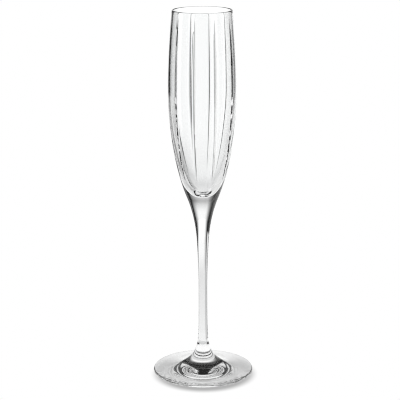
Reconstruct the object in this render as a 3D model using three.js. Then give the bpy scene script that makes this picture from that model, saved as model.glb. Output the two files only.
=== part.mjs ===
// Crystal champagne flute: a blown and wheel-cut bowl on a drawn stem and a domed foot.
// Millimetres, +Z up. The origin is the centre of the plane that the foot stands on.
import * as THREE from 'three';

// Heights above the table.
const RIM_HEIGHT = 260;
const WIDEST_HEIGHT = 205;
const CAVITY_FLOOR_HEIGHT = 131;
const TAPER_HEIGHT = 128;
const BOWL_JOIN_HEIGHT = 96;
const STEM_WAIST_HEIGHT = 60;
const FOOT_JOIN_HEIGHT = 23;

// Radii of the outside at those heights.
const RIM_RADIUS = 20.8;
const WIDEST_RADIUS = 23.7;
const TAPER_RADIUS = 10.8;
const BOWL_JOIN_RADIUS = 4.1;
const STEM_WAIST_RADIUS = 3.05;
const FOOT_JOIN_RADIUS = 3.9;

// The blown wall. It is thinnest at the lip, which is melted round, and thickens towards the solid base.
const RIM_WALL = 1;
const WIDEST_WALL = 1.3;

// Points of the cavity (radius, height) where its sides draw in, and where its floor begins.
const CAVITY_WAIST = [14.2, 152];
const CAVITY_SHOULDER = [7.3, 136];

// The upright mitre cuts round the bowl. Each is widest and deepest halfway along, and runs out to a
// point at both ends. The first one stands to the right of the front.
const CUT_COUNT = 10;
const FIRST_CUT_ANGLE = THREE.MathUtils.degToRad(22.5);
const CUT_TOP_HEIGHT = RIM_HEIGHT - 4;
const CUT_BOTTOM_HEIGHT = 143;
const CUT_DEPTH = 0.6;

// The foot: a flat resting ring round a shallow hollow, a bevelled edge and a domed top.
const FOOT_RADIUS = 35.5;
const FOOT_EDGE_HEIGHT = 2.2;
const FOOT_BEVEL = 0.8;
const RING_INNER_RADIUS = 30.5;
const HOLLOW_HEIGHT = 1.1;
const SHOULDER_RADIUS = 9.2;
const SHOULDER_HEIGHT = 10.4;

// How finely the curves and the turns are divided. A mitre cut is two sides of the bowl wide.
const LONG_STEPS = 9;
const SIDE_STEPS = 6;
const SHORT_STEPS = 4;
const WAIST_STEPS = 3;
const SIDES_PER_CUT = 10;
const STEM_SIDES = 32;
const FOOT_SIDES = 64;

// A curve of a profile, from one point (radius, height) to another, drawn towards its two handles.
function curve(start, startHandle, endHandle, end, steps) {
  const corners = [start, startHandle, endHandle, end].map((corner) => new THREE.Vector2(...corner));
  return new THREE.CubicBezierCurve(...corners).getPoints(steps);
}

// Strings curves and single points into one profile, without the repeated points where they meet.
function profileOf(...stretches) {
  const points = stretches.flat().map((point) => (Array.isArray(point) ? new THREE.Vector2(...point) : point));
  return points.filter((point, index) => index === 0 || !point.equals(points[index - 1]));
}

// One piece of the glass, from a geometry that was turned about Y and is stood up along Z.
function crystalPiece(name, turned, color) {
  turned.rotateX(Math.PI / 2);
  const material = new THREE.MeshStandardMaterial({ color, roughness: 0.03, metalness: 0 });
  const mesh = new THREE.Mesh(turned, material);
  mesh.name = name;
  return mesh;
}

// The bowl's outside, from the join with the stem up to the lip.
function bowlOutside() {
  const join = [BOWL_JOIN_RADIUS, BOWL_JOIN_HEIGHT];
  const taper = [TAPER_RADIUS, TAPER_HEIGHT];
  const widest = [WIDEST_RADIUS, WIDEST_HEIGHT];
  const lip = [RIM_RADIUS, RIM_HEIGHT - RIM_WALL / 2];
  return profileOf(
    curve(join, [4.7, 106], [6.4, 117], taper, SHORT_STEPS),
    curve(taper, [19.6, 149], [WIDEST_RADIUS, 178], widest, LONG_STEPS),
    curve(widest, [WIDEST_RADIUS, 224], [22.3, 242], lip, LONG_STEPS),
  );
}

// The bowl's inside, from the lip down to the middle of the cavity's rounded floor.
function bowlInside() {
  const lip = [RIM_RADIUS - RIM_WALL, RIM_HEIGHT - RIM_WALL / 2];
  const widest = [WIDEST_RADIUS - WIDEST_WALL, WIDEST_HEIGHT];
  const floor = [0, CAVITY_FLOOR_HEIGHT];
  return profileOf(
    curve(lip, [21, 242], [widest[0], 224], widest, SHORT_STEPS),
    curve(widest, [widest[0], 187], [18.6, 166], CAVITY_WAIST, SIDE_STEPS),
    curve(CAVITY_WAIST, [12, 145], [9.5, 139.4], CAVITY_SHOULDER, WAIST_STEPS),
    curve(CAVITY_SHOULDER, [4.3, 131.8], [3, CAVITY_FLOOR_HEIGHT], floor, SHORT_STEPS),
  );
}

// How much of its full depth a cut has at a height.
function cutShare(height) {
  const along = (height - CUT_BOTTOM_HEIGHT) / (CUT_TOP_HEIGHT - CUT_BOTTOM_HEIGHT);
  return along > 0 && along < 1 ? Math.sqrt(4 * along * (1 - along)) : 0;
}

// Presses the floor of each cut into the turned bowl, at the points of its profile that are outside.
function cutInto(geometry, profile, outside) {
  const position = geometry.attributes.position;
  const surface = new THREE.Vector3();
  for (let cut = 0; cut <= CUT_COUNT; cut += 1) {
    for (const point of outside) {
      const index = cut * SIDES_PER_CUT * profile.length + profile.indexOf(point);
      const shrink = 1 - (CUT_DEPTH * cutShare(point.y)) / point.x;
      surface.fromBufferAttribute(position, index);
      position.setXYZ(index, surface.x * shrink, surface.y, surface.z * shrink);
    }
  }
}

function makeBowl() {
  const outside = bowlOutside();
  const axisAtJoin = [0, BOWL_JOIN_HEIGHT];
  const lipTop = [RIM_RADIUS - RIM_WALL / 2, RIM_HEIGHT];
  const profile = profileOf([axisAtJoin], outside, [lipTop], bowlInside());
  const sides = CUT_COUNT * SIDES_PER_CUT;
  const geometry = new THREE.LatheGeometry(profile, sides, FIRST_CUT_ANGLE, Math.PI * 2);
  cutInto(geometry, profile, outside);
  return crystalPiece('bowl', geometry, 0xe9ecee);
}

function makeStem() {
  const foot = [FOOT_JOIN_RADIUS, FOOT_JOIN_HEIGHT];
  const waist = [STEM_WAIST_RADIUS, STEM_WAIST_HEIGHT];
  const bowl = [BOWL_JOIN_RADIUS, BOWL_JOIN_HEIGHT];
  const profile = profileOf(
    [[0, FOOT_JOIN_HEIGHT]],
    curve(foot, [3.2, 31], [STEM_WAIST_RADIUS, 38], waist, LONG_STEPS),
    curve(waist, [STEM_WAIST_RADIUS, 74], [3.5, 85], bowl, LONG_STEPS),
    [[0, BOWL_JOIN_HEIGHT]],
  );
  return crystalPiece('stem', new THREE.LatheGeometry(profile, STEM_SIDES), 0xe3e7ea);
}

function makeFoot() {
  const ringInner = [RING_INNER_RADIUS, 0];
  const ringOuter = [FOOT_RADIUS - FOOT_BEVEL, 0];
  const edgeTop = [FOOT_RADIUS - FOOT_BEVEL, FOOT_EDGE_HEIGHT + FOOT_BEVEL / 4];
  const shoulder = [SHOULDER_RADIUS, SHOULDER_HEIGHT];
  const join = [FOOT_JOIN_RADIUS, FOOT_JOIN_HEIGHT];
  const profile = profileOf(
    curve([0, HOLLOW_HEIGHT], [12, HOLLOW_HEIGHT], [22, HOLLOW_HEIGHT * 0.6], ringInner, SHORT_STEPS),
    [ringOuter, [FOOT_RADIUS, FOOT_BEVEL], [FOOT_RADIUS, FOOT_EDGE_HEIGHT - FOOT_BEVEL / 4]],
    curve(edgeTop, [25, 3.4], [13.5, 6.2], shoulder, LONG_STEPS),
    curve(shoulder, [6.6, 13], [4.6, 18], join, LONG_STEPS),
    [[0, FOOT_JOIN_HEIGHT]],
  );
  return crystalPiece('foot', new THREE.LatheGeometry(profile, FOOT_SIDES), 0xdfe3e6);
}

const flute = new THREE.Group();
flute.add(makeBowl(), makeStem(), makeFoot());

export default flute;
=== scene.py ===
"""Cut-crystal champagne flute: a wheel-cut bowl, a drawn stem and a domed foot on a white light table."""
import math

import bpy
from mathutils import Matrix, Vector


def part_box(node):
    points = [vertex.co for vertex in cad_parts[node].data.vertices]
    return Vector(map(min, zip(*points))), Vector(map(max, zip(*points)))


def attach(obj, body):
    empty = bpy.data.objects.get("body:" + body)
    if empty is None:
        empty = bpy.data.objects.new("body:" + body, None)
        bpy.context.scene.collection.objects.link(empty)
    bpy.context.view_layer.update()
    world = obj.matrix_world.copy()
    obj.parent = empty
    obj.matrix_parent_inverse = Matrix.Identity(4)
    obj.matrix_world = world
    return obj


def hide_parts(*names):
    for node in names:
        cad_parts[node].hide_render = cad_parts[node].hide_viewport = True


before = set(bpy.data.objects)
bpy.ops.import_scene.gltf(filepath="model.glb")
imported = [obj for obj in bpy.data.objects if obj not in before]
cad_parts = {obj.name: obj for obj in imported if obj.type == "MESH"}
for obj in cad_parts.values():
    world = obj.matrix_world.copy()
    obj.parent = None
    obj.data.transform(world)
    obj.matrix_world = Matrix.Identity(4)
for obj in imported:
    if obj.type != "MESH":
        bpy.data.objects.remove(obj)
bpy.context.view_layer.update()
BOWL_LOW, BOWL_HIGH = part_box("bowl")
STEM_LOW, STEM_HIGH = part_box("stem")
FOOT_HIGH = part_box("foot")[1]

bl_info = {
    "name": "Cut-Crystal Champagne Flute",
    "version": (1, 0, 0),
    "blender": (4, 5, 0),
    "location": "3D View > Sidebar > Flute",
    "description": "Builds a crystal flute with upright mitre cuts, and a light table to show it on",
    "category": "Add Mesh",
}

MM = 0.001
BODY = "root"

# Attributes that a turned piece carries: how deep in a cut a point is, and whether it is on a join.
CUT_BITE = "cut_bite"
JOIN_FACE = "join_face"

# A number too small to see. It keeps divisions away from nought, and closes the seam and the poles.
TINY = 1e-6

WHITE = (1.0, 1.0, 1.0, 1.0)


# ---------------------------------------------------------------- settings

class FluteSizes(bpy.types.PropertyGroup):
    """The sizes of the bowl and the stem that the frame leaves open."""

    rim_wall: bpy.props.FloatProperty(
        name="Rim Wall", description="Thickness of the glass at the lip",
        default=1.0 * MM, subtype="DISTANCE")
    rim_radius: bpy.props.FloatProperty(
        name="Rim Radius", description="Outside radius of the lip",
        default=20.8 * MM, subtype="DISTANCE")
    widest_wall: bpy.props.FloatProperty(
        name="Bowl Wall", description="Thickness of the glass where the bowl is widest",
        default=1.3 * MM, subtype="DISTANCE")
    widest_height: bpy.props.FloatProperty(
        name="Widest Height", description="Height at which the bowl is widest",
        default=205 * MM, subtype="DISTANCE")
    taper_radius: bpy.props.FloatProperty(
        name="Taper Radius", description="Outside radius where the bowl turns into its solid base",
        default=10.8 * MM, subtype="DISTANCE")
    taper_height: bpy.props.FloatProperty(
        name="Taper Height", description="Height where the bowl turns into its solid base",
        default=128 * MM, subtype="DISTANCE")
    cavity_waist_radius: bpy.props.FloatProperty(
        name="Cavity Waist Radius", description="Inside radius where the sides of the cavity draw in",
        default=14.2 * MM, subtype="DISTANCE")
    cavity_waist_height: bpy.props.FloatProperty(
        name="Cavity Waist Height", description="Height where the sides of the cavity draw in",
        default=152 * MM, subtype="DISTANCE")
    cavity_shoulder_radius: bpy.props.FloatProperty(
        name="Cavity Shoulder Radius", description="Inside radius where its rounded floor begins",
        default=7.3 * MM, subtype="DISTANCE")
    cavity_shoulder_rise: bpy.props.FloatProperty(
        name="Cavity Shoulder Rise", description="How far its rounded floor rises at the edge",
        default=5.0 * MM, subtype="DISTANCE")
    cavity_floor: bpy.props.FloatProperty(
        name="Cavity Floor", description="Height of the lowest point inside the bowl",
        default=131 * MM, subtype="DISTANCE")
    upper_join: bpy.props.FloatProperty(
        name="Upper Join", description="Radius of the join between the bowl and the stem",
        default=4.1 * MM, subtype="DISTANCE")
    stem_waist: bpy.props.FloatProperty(
        name="Stem Waist", description="Radius of the stem where it is thinnest",
        default=3.05 * MM, subtype="DISTANCE")
    stem_waist_height: bpy.props.FloatProperty(
        name="Stem Waist Height", description="Height at which the stem is thinnest",
        default=60 * MM, subtype="DISTANCE")
    lower_join: bpy.props.FloatProperty(
        name="Lower Join", description="Radius of the join between the stem and the foot",
        default=3.9 * MM, subtype="DISTANCE")


class FootSizes(bpy.types.PropertyGroup):
    """The pressed foot: a flat ring round a shallow hollow, a rounded edge and a domed top."""

    ring_radius: bpy.props.FloatProperty(
        name="Ring Radius", description="Inside radius of the flat ring that the glass stands on",
        default=30.5 * MM, subtype="DISTANCE")
    hollow: bpy.props.FloatProperty(
        name="Hollow", description="Depth of the hollow under the foot",
        default=1.1 * MM, subtype="DISTANCE")
    edge_rounding: bpy.props.FloatProperty(
        name="Edge Rounding", description="Radius of the two corners of the edge",
        default=0.9 * MM, subtype="DISTANCE")
    edge_height: bpy.props.FloatProperty(
        name="Edge Height", description="Thickness of the foot at its edge",
        default=2.35 * MM, subtype="DISTANCE")
    dome_radius: bpy.props.FloatProperty(
        name="Dome Radius", description="Radius where the domed top turns up into the neck",
        default=9.2 * MM, subtype="DISTANCE")
    dome_height: bpy.props.FloatProperty(
        name="Dome Height", description="Height where the domed top turns up into the neck",
        default=10.4 * MM, subtype="DISTANCE")


class CutSizes(bpy.types.PropertyGroup):
    """The upright mitre cuts round the bowl."""

    count: bpy.props.IntProperty(
        name="Cuts", description="Number of upright cuts round the bowl", default=10, min=3, max=24)
    first_angle: bpy.props.FloatProperty(
        name="First Cut", description="Angle of the first cut, from the front towards the right",
        default=math.radians(22.5), subtype="ANGLE")
    top_gap: bpy.props.FloatProperty(
        name="Top Gap", description="Plain glass between the lip and the cuts",
        default=4.0 * MM, subtype="DISTANCE")
    bottom_height: bpy.props.FloatProperty(
        name="Bottom Height", description="Height of the lower points of the cuts",
        default=143 * MM, subtype="DISTANCE")
    half_width: bpy.props.FloatProperty(
        name="Half Width", description="Half the width of a cut at its widest",
        default=1.05 * MM, subtype="DISTANCE")
    depth: bpy.props.FloatProperty(
        name="Depth", description="Depth of a cut at its deepest",
        default=0.52 * MM, subtype="DISTANCE")
    width_taper: bpy.props.FloatProperty(
        name="Width Taper", description="How soon a cut narrows: a half is an ellipse, 1 a pointed leaf",
        default=0.5, min=0.1, max=4.0)
    depth_taper: bpy.props.FloatProperty(
        name="Depth Taper", description="How soon a cut runs out: a half is an ellipse, 1 a shallow arc",
        default=0.5, min=0.1, max=4.0)
    shoulder: bpy.props.FloatProperty(
        name="Shoulder", description="Section of a cut: 1 is a plain mitre, and more has rounded edges",
        default=1.2, min=1.0, max=4.0)


class CrystalFinish(bpy.types.PropertyGroup):
    """The glass itself and its polish."""

    tint: bpy.props.FloatVectorProperty(
        name="Tint", description="Colour of the clear crystal",
        default=(0.985, 0.99, 0.99), size=3, min=0.0, max=1.0, subtype="COLOR")
    ior: bpy.props.FloatProperty(
        name="Index of Refraction", description="Lead-free crystal is about 1.53",
        default=1.53, min=1.3, max=1.8)
    roughness: bpy.props.FloatProperty(
        name="Roughness", description="Roughness of the fire-polished glass",
        default=0.0, min=0.0, max=0.2)
    cut_roughness: bpy.props.FloatProperty(
        name="Cut Roughness", description="Roughness of the wheel-polished cuts",
        default=0.03, min=0.0, max=0.2)
    streak_depth: bpy.props.FloatProperty(
        name="Streaks", description="Depth of the faint upright streaks left by blowing and pressing",
        default=0.0015 * MM, subtype="DISTANCE")


class StudioSettings(bpy.types.PropertyGroup):
    """The light table, the lit screens round it and the camera."""

    floor_radius: bpy.props.FloatProperty(
        name="Floor Radius", description="Radius of the pale floor", default=8.0, subtype="DISTANCE")
    white: bpy.props.FloatProperty(
        name="White", description="Brightness of the lit table and screens", default=1.07, min=0.0)
    dark: bpy.props.FloatProperty(
        name="Dark", description="Brightness of the unlit studio", default=0.02, min=0.0)
    camera_side: bpy.props.FloatProperty(
        name="Camera Side", description="How far the camera stands to the right of the glass",
        default=-1.104 * MM, subtype="DISTANCE")
    camera_distance: bpy.props.FloatProperty(
        name="Camera Distance", description="Distance in front of the glass",
        default=0.98, subtype="DISTANCE")
    camera_height: bpy.props.FloatProperty(
        name="Camera Height", description="Height above the table",
        default=0.377, subtype="DISTANCE")
    camera_pitch: bpy.props.FloatProperty(
        name="Camera Pitch", description="Angle that the camera looks down by",
        default=math.radians(14.33), subtype="ANGLE")
    camera_roll: bpy.props.FloatProperty(
        name="Camera Roll", description="Turn of the camera about its line of sight",
        default=math.radians(0.18), subtype="ANGLE")
    lens: bpy.props.FloatProperty(
        name="Lens", description="Focal length in millimetres", default=129.7, min=20.0)


SETTINGS = {
    "flute_sizes": FluteSizes,
    "flute_foot": FootSizes,
    "flute_cuts": CutSizes,
    "flute_finish": CrystalFinish,
    "flute_studio": StudioSettings,
}


# ---------------------------------------------------------------- profiles

def curve(start, leaving, arriving, end, steps):
    """Points (radius, height) along a cubic curve, without its last point. Its handles are given by how
    far out and up they stand from its two ends, in millimetres."""
    start, end = Vector(start), Vector(end)
    corners = (start, start + Vector(leaving) * MM, end + Vector(arriving) * MM, end)
    points = []
    for step in range(steps):
        t = step / steps
        shares = ((1 - t) ** 3, 3 * t * (1 - t) ** 2, 3 * t * t * (1 - t), t ** 3)
        weighted = (corner * share for corner, share in zip(corners, shares))
        points.append(tuple(sum(weighted, Vector((0, 0)))))
    return points


def arc(centre, radius, start_angle, end_angle, steps):
    """Points (radius, height) along a round corner, without its last point."""
    points = []
    for step in range(steps):
        angle = start_angle + (end_angle - start_angle) * step / steps
        points.append((centre[0] + radius * math.cos(angle), centre[1] + radius * math.sin(angle)))
    return points


def bowl_outside(sizes):
    """The outside of the bowl, from the join up to the lip."""
    join = (sizes.upper_join, BOWL_LOW.z)
    taper = (sizes.taper_radius, sizes.taper_height)
    widest = (BOWL_HIGH.x, sizes.widest_height)
    lip = (sizes.rim_radius, BOWL_HIGH.z - sizes.rim_wall / 2)
    return [
        *curve(join, (0.6, 10), (-4.4, -11), taper, steps=26),
        *curve(taper, (8.8, 21), (0, -27), widest, steps=64),
        *curve(widest, (0, 19), (1.5, -17.5), lip, steps=52),
    ]


def bowl_inside(sizes):
    """The inside of the bowl, from the lip down to the middle of the cavity's rounded floor."""
    lip = (sizes.rim_radius - sizes.rim_wall, BOWL_HIGH.z - sizes.rim_wall / 2)
    widest = (BOWL_HIGH.x - sizes.widest_wall, sizes.widest_height)
    waist = (sizes.cavity_waist_radius, sizes.cavity_waist_height)
    shoulder = (sizes.cavity_shoulder_radius, sizes.cavity_floor + sizes.cavity_shoulder_rise)
    floor = (0, sizes.cavity_floor)
    return [
        *curve(lip, (1.2, -17.5), (0, 19), widest, steps=24),
        *curve(widest, (0, -18), (4.4, 14), waist, steps=34),
        *curve(waist, (-2.2, -7), (2.2, 3.4), shoulder, steps=16),
        *curve(shoulder, (-2.4, -3.4), (3.6, 0), floor, steps=18),
        floor,
    ]


def bowl_profile(sizes):
    """From the middle of the join up the outside, over the lip and down the inside to the axis.
    The second result is the range of its points that are on the outside."""
    outside = bowl_outside(sizes)
    lip_radius = sizes.rim_wall / 2
    lip_centre = (sizes.rim_radius - lip_radius, BOWL_HIGH.z - lip_radius)
    lip = arc(lip_centre, lip_radius, 0, math.pi, steps=8)
    profile = [(0, BOWL_LOW.z), *outside, *lip, *bowl_inside(sizes)]
    return profile, range(1, 1 + len(outside))


def stem_profile(sizes):
    """From the middle of the lower join to the middle of the upper join."""
    lower = (sizes.lower_join, STEM_LOW.z)
    upper = (sizes.upper_join, STEM_HIGH.z)
    waist = (sizes.stem_waist, sizes.stem_waist_height)
    return [
        (0, STEM_LOW.z),
        *curve(lower, (-0.7, 8), (0, -22), waist, steps=40),
        *curve(waist, (0, 14), (-0.6, -11), upper, steps=36),
        upper,
        (0, STEM_HIGH.z),
    ]


# The upper corner of the foot's edge stops short of a quarter turn, because the top slopes up from it.
UPPER_CORNER_TURN = math.radians(80)


def foot_profile(sizes, foot):
    """From the middle of the hollow underneath, over the edge, to the middle of the join."""
    rounding = foot.edge_rounding
    edge_radius = FOOT_HIGH.x - rounding
    ring = (foot.ring_radius, 0)
    edge_top = (edge_radius, foot.edge_height)
    dome = (foot.dome_radius, foot.dome_height)
    join = (sizes.lower_join, FOOT_HIGH.z)
    return [
        *curve((0, foot.hollow), (12, 0), (-8.5, 0.66), ring, steps=40),
        ring,
        *arc((edge_radius, rounding), rounding, -math.pi / 2, 0, steps=14),
        *arc((edge_radius, foot.edge_height - rounding), rounding, 0, UPPER_CORNER_TURN, steps=14),
        *curve(edge_top, (-9.6, 1.05), (4.3, -4.2), dome, steps=60),
        *curve(dome, (-2.6, 2.6), (0.7, -5), join, steps=36),
        join,
        (0, FOOT_HIGH.z),
    ]


# ---------------------------------------------------------------- node helpers

class Nodes:
    """Adds nodes to a tree and links them, so that a tree reads as a list of steps."""

    def __init__(self, tree):
        self.tree = tree

    def feed(self, node, inputs):
        """Sets inputs, each by its name or number, to a value or to another node's output."""
        for key, value in inputs.items():
            if isinstance(value, bpy.types.NodeSocket):
                self.tree.links.new(value, node.inputs[key])
            else:
                node.inputs[key].default_value = value

    def add(self, kind, inputs=None, **settings):
        """A new node with its settings and inputs."""
        node = self.tree.nodes.new(kind)
        for name, value in settings.items():
            setattr(node, name, value)
        self.feed(node, inputs or {})
        return node

    def math(self, operation, *values):
        """The result of one Math node."""
        return self.add("ShaderNodeMath", dict(enumerate(values)), operation=operation).outputs[0]

    def smooth(self, value, low, high, at_low=0.0, at_high=1.0):
        """A smooth step from at_low to at_high as the value goes from low to high."""
        inputs = {"Value": value, "From Min": low, "From Max": high, "To Min": at_low, "To Max": at_high}
        return self.add("ShaderNodeMapRange", inputs, interpolation_type="SMOOTHSTEP").outputs[0]

    def blend(self, share, none, whole):
        """The first number where the share is nought, and the second where it is one."""
        return self.add("ShaderNodeMix", {0: share, 2: none, 3: whole}, data_type="FLOAT").outputs[0]


def new_group(name, kind, inputs, outputs):
    """A node group with named sockets, its helper, and its input and output nodes."""
    tree = bpy.data.node_groups.new(name, kind)
    for socket_name, socket_type, default in inputs:
        socket = tree.interface.new_socket(socket_name, in_out="INPUT", socket_type=socket_type)
        if default is not None:
            socket.default_value = default
    for socket_name, socket_type in outputs:
        tree.interface.new_socket(socket_name, in_out="OUTPUT", socket_type=socket_type)
    nodes = Nodes(tree)
    return tree, nodes, nodes.add("NodeGroupInput").outputs, nodes.add("NodeGroupOutput").inputs


# ---------------------------------------------------------------- geometry nodes

TURNED_INPUTS = [
    ("Profile", "NodeSocketGeometry", None),
    ("Cuts", "NodeSocketInt", 10),
    ("First Cut", "NodeSocketFloat", 0.0),
    ("Cut Top", "NodeSocketFloat", 0.25),
    ("Cut Bottom", "NodeSocketFloat", 0.14),
    ("Half Width", "NodeSocketFloat", 0.001),
    ("Depth", "NodeSocketFloat", 0.0),
    ("Width Taper", "NodeSocketFloat", 0.5),
    ("Depth Taper", "NodeSocketFloat", 0.5),
    ("Shoulder", "NodeSocketFloat", 1.0),
    ("Cut Steps", "NodeSocketInt", 16),
    ("Plain Steps", "NodeSocketInt", 12),
    ("Least Half Angle", "NodeSocketFloat", 0.02),
    ("Glass", "NodeSocketMaterial", None),
    ("Join", "NodeSocketMaterial", None),
]

# A face is a join when all its points are marked.
ALL_MARKED = 0.99

# Edges of the glass that turn more than this stay crisp.
SHARP_ANGLE = math.radians(50)


def sampled(nodes, profile, row, name, data_type):
    """An attribute of the profile's point in this row of the turned surface."""
    if name == "position":
        source = nodes.add("GeometryNodeInputPosition")
    else:
        source = nodes.add("GeometryNodeInputNamedAttribute", {"Name": name}, data_type=data_type)
    inputs = {"Geometry": profile, "Value": source.outputs[0], "Index": row}
    return nodes.add("GeometryNodeSampleIndex", inputs, data_type=data_type, domain="POINT").outputs[0]


def stored(nodes, geometry, name, value):
    """The same geometry, whose points carry one more attribute."""
    inputs = {"Geometry": geometry, "Name": name, "Value": value}
    node = nodes.add("GeometryNodeStoreNamedAttribute", inputs, data_type="FLOAT", domain="POINT")
    return node.outputs[0]


def cut_shares(nodes, given, height):
    """How wide and how deep a cut is at a height. It runs out to a point at both ends."""
    span = nodes.math("SUBTRACT", given["Cut Top"], given["Cut Bottom"])
    along = nodes.math("DIVIDE", nodes.math("SUBTRACT", height, given["Cut Bottom"]), span)
    off_middle = nodes.math("MULTIPLY_ADD", along, 2.0, -1.0)
    within = nodes.math("SUBTRACT", 1.0, nodes.math("MULTIPLY", off_middle, off_middle))
    within = nodes.math("MAXIMUM", within, 0.0)
    wide = nodes.math("POWER", within, given["Width Taper"])
    deep = nodes.math("POWER", within, given["Depth Taper"])
    return wide, deep


def column_offset(nodes, given, step, pitch, station_angle):
    """The angle of a column from the middle of its cut. Columns crowd into the cuts, and spread over the
    plain glass between them."""
    in_cut = nodes.math("MULTIPLY_ADD", nodes.math("DIVIDE", step, given["Cut Steps"]), 2.0, -1.0)
    cut_offset = nodes.math("MULTIPLY", nodes.math("MINIMUM", in_cut, 1.0), station_angle)
    past_cut = nodes.math("MAXIMUM", nodes.math("SUBTRACT", step, given["Cut Steps"]), 0.0)
    plain_share = nodes.math("DIVIDE", past_cut, given["Plain Steps"])
    plain_angle = nodes.math("SUBTRACT", pitch, nodes.math("MULTIPLY", station_angle, 2.0))
    return nodes.math("ADD", cut_offset, nodes.math("MULTIPLY", plain_share, plain_angle))


def turned_crystal_tree():
    """Turns a profile about Z, and presses upright mitre cuts into the rows marked as outside."""
    name = "Turned Crystal"
    if name in bpy.data.node_groups:
        return bpy.data.node_groups[name]
    outputs = [("Geometry", "NodeSocketGeometry")]
    tree, nodes, given, result = new_group(name, "GeometryNodeTree", TURNED_INPUTS, outputs)
    profile = given["Profile"]
    size = nodes.add("GeometryNodeAttributeDomainSize", {"Geometry": profile}, component="MESH")
    rows = size.outputs["Point Count"]
    steps = nodes.math("ADD", given["Cut Steps"], given["Plain Steps"])
    columns = nodes.math("MULTIPLY_ADD", given["Cuts"], steps, 1.0)
    grid = nodes.add("GeometryNodeMeshGrid", {"Vertices X": columns, "Vertices Y": rows}).outputs["Mesh"]

    # The row runs along the profile, and the column round the glass. The added halves keep a whole
    # quotient from being rounded down to the one before.
    index = nodes.add("GeometryNodeInputIndex").outputs[0]
    row = nodes.math("FLOORED_MODULO", index, rows)
    column = nodes.math("FLOOR", nodes.math("DIVIDE", nodes.math("ADD", index, 0.5), rows))
    cut = nodes.math("FLOOR", nodes.math("DIVIDE", nodes.math("ADD", column, 0.5), steps))
    step = nodes.math("SUBTRACT", column, nodes.math("MULTIPLY", cut, steps))
    point = sampled(nodes, profile, row, "position", "FLOAT_VECTOR")
    point = nodes.add("ShaderNodeSeparateXYZ", {0: point})
    radius, height = point.outputs["X"], point.outputs["Z"]

    wide, deep = cut_shares(nodes, given, height)
    half_width = nodes.math("MULTIPLY", given["Half Width"], wide)
    half_angle = nodes.math("DIVIDE", half_width, nodes.math("MAXIMUM", radius, TINY))
    station_angle = nodes.math("MAXIMUM", half_angle, given["Least Half Angle"])
    pitch = nodes.math("DIVIDE", 2 * math.pi, given["Cuts"])
    offset = column_offset(nodes, given, step, pitch, station_angle)
    angle = nodes.math("ADD", nodes.math("MULTIPLY_ADD", cut, pitch, given["First Cut"]), offset)

    # The flanks of a cut run down from its edges and meet along its floor.
    across = nodes.math("DIVIDE", nodes.math("ABSOLUTE", offset), nodes.math("MAXIMUM", half_angle, TINY))
    flank = nodes.math("SUBTRACT", 1.0, nodes.math("MINIMUM", across, 1.0))
    flank = nodes.math("POWER", flank, given["Shoulder"])
    outside = sampled(nodes, profile, row, "outside", "FLOAT")
    bite = nodes.math("MULTIPLY", nodes.math("MULTIPLY", flank, deep), outside)
    cut_radius = nodes.math("SUBTRACT", radius, nodes.math("MULTIPLY", bite, given["Depth"]))
    x = nodes.math("MULTIPLY", cut_radius, nodes.math("SINE", angle))
    y = nodes.math("MULTIPLY", cut_radius, nodes.math("MULTIPLY", nodes.math("COSINE", angle), -1.0))
    place = nodes.add("ShaderNodeCombineXYZ", {"X": x, "Y": y, "Z": height}).outputs[0]

    marked = stored(nodes, grid, CUT_BITE, bite)
    marked = stored(nodes, marked, JOIN_FACE, sampled(nodes, profile, row, "join", "FLOAT"))
    placed = nodes.add("GeometryNodeSetPosition", {"Geometry": marked, "Position": place})
    closed = nodes.add("GeometryNodeMergeByDistance", {"Geometry": placed.outputs[0], "Distance": TINY})
    smooth = nodes.add("GeometryNodeSetShadeSmooth", {"Geometry": closed.outputs[0]})
    real = nodes.add("GeometryNodeRealizeInstances", {"Geometry": smooth.outputs[0]})
    glass = nodes.add("GeometryNodeSetMaterial", {"Geometry": real.outputs[0], "Material": given["Glass"]})
    share = nodes.add("GeometryNodeInputNamedAttribute", {"Name": JOIN_FACE}, data_type="FLOAT")
    compared = {"A": share.outputs[0], "B": ALL_MARKED}
    on_join = nodes.add("FunctionNodeCompare", compared, data_type="FLOAT", operation="GREATER_THAN")
    joined = {"Geometry": glass.outputs[0], "Selection": on_join.outputs[0], "Material": given["Join"]}
    finished = nodes.add("GeometryNodeSetMaterial", joined)
    tree.links.new(finished.outputs[0], result[0])
    return tree


def turned_piece(name, profile, outside_rows, join_rows, values):
    """A finished piece of glass: the profile turned by the tree, as a plain mesh."""
    line = bpy.data.meshes.new(name + "_profile")
    edges = [(row, row + 1) for row in range(len(profile) - 1)]
    line.from_pydata([(radius, 0, height) for radius, height in profile], edges, [])
    for attribute_name, marked_rows in (("outside", outside_rows), ("join", join_rows)):
        attribute = line.attributes.new(attribute_name, "FLOAT", "POINT")
        for row in marked_rows:
            attribute.data[row].value = 1.0
    source = bpy.data.objects.new(name + "_source", line)
    bpy.context.scene.collection.objects.link(source)
    tree = turned_crystal_tree()
    modifier = source.modifiers.new("Turned Crystal", "NODES")
    modifier.node_group = tree
    for item in tree.interface.items_tree:
        if item.item_type == "SOCKET" and item.in_out == "INPUT" and item.name in values:
            modifier[item.identifier] = values[item.name]
    bpy.context.view_layer.update()
    evaluated = source.evaluated_get(bpy.context.evaluated_depsgraph_get())
    mesh = bpy.data.meshes.new_from_object(evaluated)
    source.modifiers.remove(modifier)
    bpy.data.objects.remove(source)
    mesh.name = name
    mesh.set_sharp_from_angle(angle=SHARP_ANGLE)
    piece = bpy.data.objects.new(name, mesh)
    bpy.context.scene.collection.objects.link(piece)
    return piece


def stand_for(piece, node):
    """Puts a finished piece in the place of its CAD node."""
    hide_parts(node)
    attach(piece, BODY)


# ---------------------------------------------------------------- materials

# The streaks run up the glass. Their pattern changes along it at this share of its rate across it.
STREAK_STRETCH = 0.08

# How far into a cut, as a share of its depth, its own roughness has taken over.
CUT_EDGE = 0.08

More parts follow.
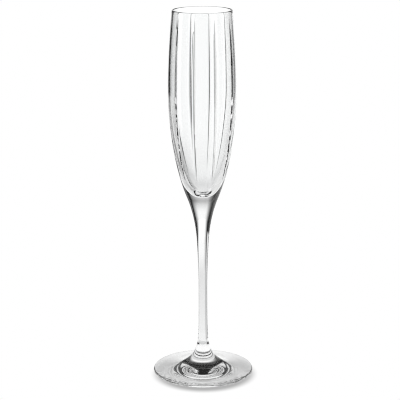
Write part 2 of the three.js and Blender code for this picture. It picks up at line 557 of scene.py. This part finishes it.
# How many streaks there are to a metre, roughly, across each kind of crystal.
BLOWN_STREAKS = 180.0
DRAWN_STREAKS = 260.0
PRESSED_STREAKS = 140.0


def polish_group():
    """Height and roughness of hand-worked crystal: faint upright streaks, and finer marks in the cuts."""
    name = "Crystal Polish"
    if name in bpy.data.node_groups:
        return bpy.data.node_groups[name]
    inputs = [
        ("Streak Scale", "NodeSocketFloat", BLOWN_STREAKS),
        ("Plain Roughness", "NodeSocketFloat", 0.0),
        ("Cut Roughness", "NodeSocketFloat", 0.03),
    ]
    outputs = [("Height", "NodeSocketFloat"), ("Roughness", "NodeSocketFloat")]
    tree, nodes, given, result = new_group(name, "ShaderNodeTree", inputs, outputs)
    place = nodes.add("ShaderNodeTexCoord").outputs["Object"]
    stretched = nodes.add("ShaderNodeMapping", {"Vector": place, "Scale": (1.0, 1.0, STREAK_STRETCH)})
    noise = {"Vector": stretched.outputs[0], "Scale": given["Streak Scale"]}
    streaks = nodes.add("ShaderNodeTexNoise", {**noise, "Detail": 2.0, "Roughness": 0.5}).outputs[0]
    in_cut = nodes.add("ShaderNodeAttribute", attribute_name=CUT_BITE).outputs["Fac"]
    cut_part = nodes.math("MULTIPLY", nodes.smooth(in_cut, 0.0, CUT_EDGE), given["Cut Roughness"])
    worn = nodes.math("MULTIPLY", given["Plain Roughness"], streaks)
    tree.links.new(streaks, result["Height"])
    tree.links.new(nodes.math("ADD", cut_part, worn), result["Roughness"])
    return tree


def crystal_material(name, finish, streak_scale):
    """Clear crystal with its polish."""
    material = bpy.data.materials.new(name)
    material.use_nodes = True
    nodes = Nodes(material.node_tree)
    worked = {
        "Streak Scale": streak_scale,
        "Plain Roughness": finish.roughness,
        "Cut Roughness": finish.cut_roughness,
    }
    polish = nodes.add("ShaderNodeGroup", worked, node_tree=polish_group())
    relief = {"Strength": 1.0, "Distance": finish.streak_depth, "Height": polish.outputs["Height"]}
    bump = nodes.add("ShaderNodeBump", relief)
    nodes.feed(material.node_tree.nodes["Principled BSDF"], {
        "Base Color": (*finish.tint, 1),
        "Metallic": 0.0,
        "Transmission Weight": 1.0,
        "IOR": finish.ior,
        "Roughness": polish.outputs["Roughness"],
        "Normal": bump.outputs[0],
    })
    return material


def join_material():
    """Inside a join the glass is one, so the face between two pieces is not there to be seen."""
    name = "Fused Join"
    if name in bpy.data.materials:
        return bpy.data.materials[name]
    material = bpy.data.materials.new(name)
    material.use_nodes = True
    material.node_tree.nodes["Principled BSDF"].inputs["Alpha"].default_value = 0.0
    return material


# ---------------------------------------------------------------- studio

# The glass sees one broad lit screen behind it, a little to the right. Directions are clockwise from
# straight behind, and widths are half widths. The screen flares above and below its waist, and fades
# out upwards between two angles over the horizon.
SCREEN_CENTRE = math.radians(4)
SCREEN_WIDTH = math.radians(21.5)
SCREEN_SOFTNESS = math.radians(13)
SCREEN_WAIST = math.radians(-1)
SCREEN_FLARE = 0.5
SCREEN_LOW = math.radians(2)
SCREEN_HIGH = math.radians(21.5)

# Narrow screens serve the views from the sides and from behind: direction and half width in degrees.
SIDE_SCREENS = [(-90, 11), (135, 11)]
CORNER_STRIP = (-45, 10)
SIDE_SOFTNESS = math.radians(4)

# What the camera itself sees behind the table.
BACKDROP_WHITE = 1.05


def lit_ways_group():
    """How much of the light comes from the direction of a vector, looking along the ground."""
    name = "Lit Ways"
    if name in bpy.data.node_groups:
        return bpy.data.node_groups[name]
    inputs = [
        ("Vector", "NodeSocketVector", None),
        ("Centre", "NodeSocketFloat", 0.0),
        ("Half Width", "NodeSocketFloat", SCREEN_WIDTH),
        ("Softness", "NodeSocketFloat", SCREEN_SOFTNESS),
        ("Corner Strip", "NodeSocketFloat", 0.0),
    ]
    tree, nodes, given, result = new_group(name, "ShaderNodeTree", inputs, [("Mask", "NodeSocketFloat")])
    way = nodes.add("ShaderNodeSeparateXYZ", {0: given["Vector"]})
    direction = nodes.math("ARCTAN2", way.outputs["X"], way.outputs["Y"])

    def off(centre):
        """How far the direction is from a centre."""
        turn = nodes.math("SUBTRACT", direction, centre)
        return nodes.math("ABSOLUTE", nodes.math("WRAP", turn, math.pi, -math.pi))

    def narrow_screen(centre, half_width):
        """One of the narrow screens, from its place in degrees."""
        edge = math.radians(half_width)
        aside = off(math.radians(centre))
        return nodes.smooth(aside, edge - SIDE_SOFTNESS, edge + SIDE_SOFTNESS, 1.0, 0.0)

    low = nodes.math("SUBTRACT", given["Half Width"], given["Softness"])
    high = nodes.math("ADD", given["Half Width"], given["Softness"])
    mask = nodes.smooth(off(given["Centre"]), low, high, 1.0, 0.0)
    for screen in SIDE_SCREENS:
        mask = nodes.math("MAXIMUM", narrow_screen(*screen), mask)
    strip = nodes.math("MULTIPLY", narrow_screen(*CORNER_STRIP), given["Corner Strip"])
    tree.links.new(nodes.math("MAXIMUM", strip, mask), result["Mask"])
    return tree


def build_world(studio):
    """White round the glass for the camera. The glass sees lit screens in a dark room."""
    world = bpy.data.worlds.new("Studio")
    world.use_nodes = True
    world.node_tree.nodes.clear()
    nodes = Nodes(world.node_tree)
    direction = nodes.add("ShaderNodeTexCoord").outputs["Generated"]
    rise = nodes.math("ARCSINE", nodes.add("ShaderNodeSeparateXYZ", {0: direction}).outputs["Z"])
    off_waist = nodes.math("ABSOLUTE", nodes.math("SUBTRACT", rise, SCREEN_WAIST))
    half_width = nodes.math("MULTIPLY_ADD", off_waist, SCREEN_FLARE, SCREEN_WIDTH)
    screen = {"Vector": direction, "Centre": SCREEN_CENTRE, "Half Width": half_width}
    ways = nodes.add("ShaderNodeGroup", screen, node_tree=lit_ways_group())
    low_enough = nodes.smooth(rise, SCREEN_LOW, SCREEN_HIGH, 1.0, 0.0)
    lit = nodes.math("MULTIPLY", ways.outputs["Mask"], low_enough)
    seen = nodes.blend(lit, studio.dark, studio.white)
    direct = nodes.add("ShaderNodeLightPath").outputs["Is Camera Ray"]
    strength = nodes.blend(direct, seen, BACKDROP_WHITE)
    background = nodes.add("ShaderNodeBackground", {"Color": WHITE, "Strength": strength})
    nodes.add("ShaderNodeOutputWorld", {"Surface": background.outputs[0]})
    bpy.context.scene.world = world


# The painted pool of light on the table, where its glow is brighter. Away from the glass it narrows to
# the strip that leads to the screen. Near it, it widens and turns to the right with the inverse square of
# the distance in metres.
POOL_CENTRE = math.radians(4.5)
POOL_TURN = math.radians(1.6)
POOL_MOST_TURN = math.radians(20)
POOL_SPREAD = math.radians(2.3)
POOL_WIDEST = math.radians(55)
POOL_SOFT_SHARE = 0.5

# The painted strip of light towards the corner, and the distances between which it fades out.
PAINTED_CORNER_LIGHT = 0.8
CORNER_NEAR = 0.8
CORNER_FAR = 1.1

# The painted light on the table: how bright its glow is at the glass and a little further out. Beyond that
# it is as white as the screens, and at last a little whiter. Over each stretch it goes from one brightness
# to the next.
TABLE_AT_GLASS = 0.95
TABLE_ROUND_GLASS = 0.86
TABLE_FAR_GAIN = 0.1
TABLE_STRETCHES = [(0.05, 0.25), (0.24, 0.4), (0.4, 0.7)]

# Painted light: the table glows all round under the foot, and more brightly under its dome. Each of these
# fades out between two distances from the axis.
PAINTED_LIGHT_UNDER_FOOT = (36 * MM, 42 * MM)
PAINTED_LIGHT_UNDER_DOME = (14 * MM, 22 * MM)
PAINTED_DOME_LIGHT_GAIN = 1.4

# The painted soft shadow of the foot, towards the front of the table: the table's glow is darker there,
# and the glass casts none.
SHADOW_CENTRE = (0.8 * MM, -7.0 * MM, 0.0)
SHADOW_RADIUS = 34.8 * MM
SHADOW_SOFTNESS = 4.5 * MM
SHADOW_DIRECT = 0.45
SHADOW_THROUGH_GLASS = 0.82


def painted_pool_of_light(nodes, place, distance):
    """Where the table's glow paints a pool of light, from nought to one."""
    nearness = nodes.math("DIVIDE", 1.0, nodes.math("MULTIPLY", distance, distance))
    centre = nodes.math("MULTIPLY_ADD", nearness, POOL_TURN, POOL_CENTRE)
    half_width = nodes.math("MULTIPLY_ADD", nearness, POOL_SPREAD, SCREEN_WIDTH)
    half_width = nodes.math("MINIMUM", half_width, POOL_WIDEST)
    # The painted pool of light uses the same shapes as the lit screens of the world.
    pool = {
        "Vector": place,
        "Centre": nodes.math("MINIMUM", centre, POOL_MOST_TURN),
        "Half Width": half_width,
        "Softness": nodes.math("MULTIPLY", half_width, POOL_SOFT_SHARE),
        "Corner Strip": nodes.smooth(distance, CORNER_NEAR, CORNER_FAR, PAINTED_CORNER_LIGHT, 0.0),
    }
    return nodes.add("ShaderNodeGroup", pool, node_tree=lit_ways_group()).outputs["Mask"]


def painted_table_light(nodes, distance, studio):
    """How bright the table's painted light is where its pool of light is painted."""
    levels = [TABLE_AT_GLASS, TABLE_ROUND_GLASS, studio.white, studio.white + TABLE_FAR_GAIN]
    bright = TABLE_AT_GLASS
    for (near, far), before, after in zip(TABLE_STRETCHES, levels, levels[1:]):
        bright = nodes.math("ADD", bright, nodes.smooth(distance, near, far, 0.0, after - before))
    return bright


def painted_foot_shadow(nodes, place):
    """The painted soft shadow of the foot: the light left in it, as the camera sees it and as the glass
    does.
    """
    arm = nodes.add("ShaderNodeVectorMath", {0: place, 1: SHADOW_CENTRE}, operation="DISTANCE")
    arm = arm.outputs["Value"]
    inner = SHADOW_RADIUS - SHADOW_SOFTNESS
    outer = SHADOW_RADIUS + SHADOW_SOFTNESS
    direct = nodes.smooth(arm, inner, outer, SHADOW_DIRECT, 1.0)
    through_glass = nodes.smooth(arm, inner, outer, SHADOW_THROUGH_GLASS, 1.0)
    return direct, through_glass


def floor_material(studio):
    """A pale table that glows. The camera sees it white with a painted soft shadow, and the glass sees a
    painted pool of light.
    """
    material = bpy.data.materials.new("Light Table")
    material.use_nodes = True
    material.node_tree.nodes.clear()
    nodes = Nodes(material.node_tree)
    place = nodes.add("ShaderNodeTexCoord").outputs["Object"]
    distance = nodes.add("ShaderNodeVectorMath", {0: place}, operation="LENGTH").outputs["Value"]
    # Painted light under the foot, joined to the painted pool of light.
    painted_light_under_foot = nodes.smooth(distance, *PAINTED_LIGHT_UNDER_FOOT, 1.0, 0.0)
    lit = nodes.math("MAXIMUM", painted_pool_of_light(nodes, place, distance), painted_light_under_foot)
    seen = nodes.blend(lit, studio.dark, painted_table_light(nodes, distance, studio))
    # Painted soft shadow of the foot, for the camera and for the glass.
    painted_shade_direct, painted_shade_through_glass = painted_foot_shadow(nodes, place)
    seen = nodes.math("MULTIPLY", seen, painted_shade_through_glass)
    # Painted brighter light under the dome.
    seen = nodes.math("MULTIPLY", seen, nodes.smooth(distance, *PAINTED_LIGHT_UNDER_DOME, PAINTED_DOME_LIGHT_GAIN, 1.0))
    direct = nodes.add("ShaderNodeLightPath").outputs["Is Camera Ray"]
    strength = nodes.blend(direct, seen, painted_shade_direct)
    emission = nodes.add("ShaderNodeEmission", {"Color": WHITE, "Strength": strength})
    nodes.add("ShaderNodeOutputMaterial", {"Surface": emission.outputs[0]})
    return material


# The polished ring under the foot rests on the table without wetting it, so a film of air stays between.
FLOOR_GAP = 0.03 * MM
FLOOR_SIDES = 96


def build_floor(studio):
    """The round floor that the glass stands on."""
    ring = []
    for side in range(FLOOR_SIDES):
        angle = 2 * math.pi * side / FLOOR_SIDES
        ring.append((studio.floor_radius * math.cos(angle), studio.floor_radius * math.sin(angle), 0))
    mesh = bpy.data.meshes.new("floor")
    mesh.from_pydata(ring, [], [list(range(FLOOR_SIDES))])
    mesh.materials.append(floor_material(studio))
    floor = bpy.data.objects.new("floor", mesh)
    floor.location.z = -FLOOR_GAP
    bpy.context.scene.collection.objects.link(floor)


# The width of the camera's sensor, in millimetres.
SENSOR_WIDTH = 36.0


def build_camera(studio):
    """Looks down on the glass from the front."""
    data = bpy.data.cameras.new("camera")
    data.lens = studio.lens
    data.sensor_width = SENSOR_WIDTH
    camera = bpy.data.objects.new("camera", data)
    camera.location = (studio.camera_side, -studio.camera_distance, studio.camera_height)
    camera.rotation_euler = (math.pi / 2 - studio.camera_pitch, studio.camera_roll, 0)
    bpy.context.scene.collection.objects.link(camera)
    bpy.context.scene.camera = camera


# Light crosses many faces of clear glass on its way to the camera.
GLASS_BOUNCES = 32
GLOSSY_BOUNCES = 16
FILTER_WIDTH = 1.1


def set_light_paths(scene):
    """Lets light through all the glass, and keeps whites as they are and fine lines crisp."""
    scene.view_settings.view_transform = "Standard"
    scene.cycles.max_bounces = GLASS_BOUNCES
    scene.cycles.transmission_bounces = GLASS_BOUNCES
    scene.cycles.transparent_max_bounces = GLASS_BOUNCES
    scene.cycles.glossy_bounces = GLOSSY_BOUNCES
    scene.cycles.filter_width = FILTER_WIDTH


# ---------------------------------------------------------------- operators

# How finely the bowl is divided round, across a cut and across the plain glass between two cuts. Where
# a cut narrows to a point, its columns still spread over this angle on each side of it.
CUT_STEPS = 16
PLAIN_STEPS = 12
LEAST_HALF_ANGLE = math.radians(1.5)

# The plain pieces are divided round into equal shares, with this many steps in each half of a share.
SHARE_STEPS = 8
STEM_SHARES = 6
FOOT_SHARES = 26


class FLUTE_OT_stage(bpy.types.Operator):
    """Add the light table, the studio round it and the camera"""

    bl_idname = "flute.stage"
    bl_label = "Stage"

    def execute(self, context):
        studio = context.scene.flute_studio
        build_camera(studio)
        build_floor(studio)
        build_world(studio)
        set_light_paths(context.scene)
        return {"FINISHED"}


class FLUTE_OT_bowl(bpy.types.Operator):
    """Add the blown bowl with its upright mitre cuts"""

    bl_idname = "flute.bowl"
    bl_label = "Bowl"

    def execute(self, context):
        scene = context.scene
        cuts = scene.flute_cuts
        profile, outside_rows = bowl_profile(scene.flute_sizes)
        piece = turned_piece("crystal_bowl", profile, outside_rows, [0, 1], {
            "Cuts": cuts.count,
            "First Cut": cuts.first_angle,
            "Cut Top": BOWL_HIGH.z - cuts.top_gap,
            "Cut Bottom": cuts.bottom_height,
            "Half Width": cuts.half_width,
            "Depth": cuts.depth,
            "Width Taper": cuts.width_taper,
            "Depth Taper": cuts.depth_taper,
            "Shoulder": cuts.shoulder,
            "Cut Steps": CUT_STEPS,
            "Plain Steps": PLAIN_STEPS,
            "Least Half Angle": LEAST_HALF_ANGLE,
            "Glass": crystal_material("Cut Crystal", scene.flute_finish, BLOWN_STREAKS),
            "Join": join_material(),
        })
        stand_for(piece, "bowl")
        return {"FINISHED"}


def plain_turning(glass, shares):
    """Inputs for a piece with no cuts, whose columns stand evenly round it."""
    quarter_share = 2 * math.pi / shares / 4
    return {
        "Cuts": shares,
        "Depth": 0.0,
        "Half Width": 0.0,
        "Cut Steps": SHARE_STEPS,
        "Plain Steps": SHARE_STEPS,
        "Least Half Angle": quarter_share,
        "Glass": glass,
        "Join": join_material(),
    }


class FLUTE_OT_stem(bpy.types.Operator):
    """Add the drawn stem"""

    bl_idname = "flute.stem"
    bl_label = "Stem"

    def execute(self, context):
        scene = context.scene
        profile = stem_profile(scene.flute_sizes)
        last = len(profile) - 1
        glass = crystal_material("Drawn Crystal", scene.flute_finish, DRAWN_STREAKS)
        values = plain_turning(glass, STEM_SHARES)
        piece = turned_piece("crystal_stem", profile, [], [0, 1, last - 1, last], values)
        stand_for(piece, "stem")
        return {"FINISHED"}


class FLUTE_OT_foot(bpy.types.Operator):
    """Add the domed foot"""

    bl_idname = "flute.foot"
    bl_label = "Foot"

    def execute(self, context):
        scene = context.scene
        profile = foot_profile(scene.flute_sizes, scene.flute_foot)
        last = len(profile) - 1
        glass = crystal_material("Pressed Crystal", scene.flute_finish, PRESSED_STREAKS)
        values = plain_turning(glass, FOOT_SHARES)
        piece = turned_piece("crystal_foot", profile, [], [last - 1, last], values)
        stand_for(piece, "foot")
        return {"FINISHED"}


class FLUTE_PT_panel(bpy.types.Panel):
    """Sizes, finish and build steps of the flute"""

    bl_idname = "FLUTE_PT_panel"
    bl_label = "Champagne Flute"
    bl_space_type = "VIEW_3D"
    bl_region_type = "UI"
    bl_category = "Flute"

    def draw(self, context):
        layout = self.layout
        for name in SETTINGS:
            group = getattr(context.scene, name)
            box = layout.box()
            for key in group.__annotations__:
                box.prop(group, key)
        for operator in OPERATORS:
            layout.operator(operator.bl_idname)


OPERATORS = [FLUTE_OT_stage, FLUTE_OT_foot, FLUTE_OT_stem, FLUTE_OT_bowl]


def register():
    for cls in [*SETTINGS.values(), *OPERATORS, FLUTE_PT_panel]:
        bpy.utils.register_class(cls)
    for name, group in SETTINGS.items():
        setattr(bpy.types.Scene, name, bpy.props.PointerProperty(type=group))


def unregister():
    for name in SETTINGS:
        delattr(bpy.types.Scene, name)
    for cls in reversed([*SETTINGS.values(), *OPERATORS, FLUTE_PT_panel]):
        bpy.utils.unregister_class(cls)


def main():
    register()
    bpy.ops.flute.stage()
    bpy.ops.flute.foot()
    bpy.ops.flute.stem()
    bpy.ops.flute.bowl()


if __name__ == "__main__":
    main()
